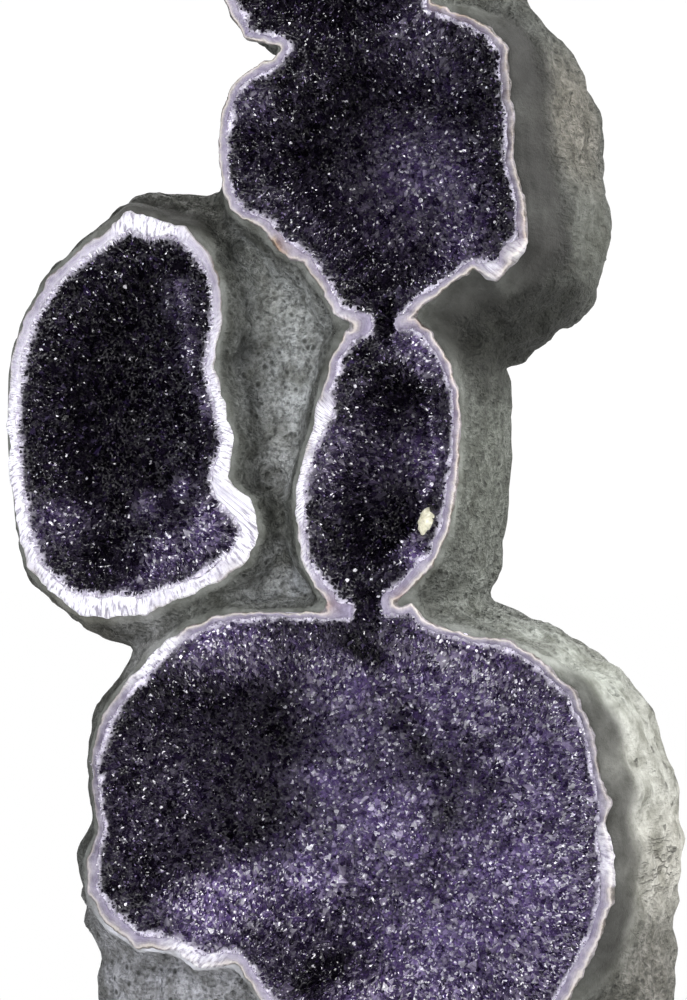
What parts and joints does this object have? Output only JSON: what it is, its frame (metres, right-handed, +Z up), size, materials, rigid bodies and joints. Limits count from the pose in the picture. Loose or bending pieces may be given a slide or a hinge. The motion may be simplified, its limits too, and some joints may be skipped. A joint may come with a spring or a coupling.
{
  "type": "amethyst geode",
  "caption": "Tall standing geode of lobed grey-green rock, sawn open in front on agate-rimmed hollows lined with dark purple crystals, on a flat sawn base.",
  "frame": {"origin": "middle of the object's outline on the surface it stands on", "axes": "+Z up; -Y out of the sawn front; +X to the right seen from the front"},
  "size_m": [0.6972, 0.38, 1.3526],
  "materials": {
    "basalt": "matte",
    "agate": "satin",
    "quartz": "satin",
    "amethyst": "gloss",
    "calcite": "matte"
  },
  "bodies": {
    "root": {"basalt_shell": "basalt", "main_agate_lining": "agate", "side_agate_lining": "quartz", "main_crystal_crust": "amethyst", "side_crystal_crust": "amethyst", "calcite_knob": "calcite"}
  },
  "joints": []
}
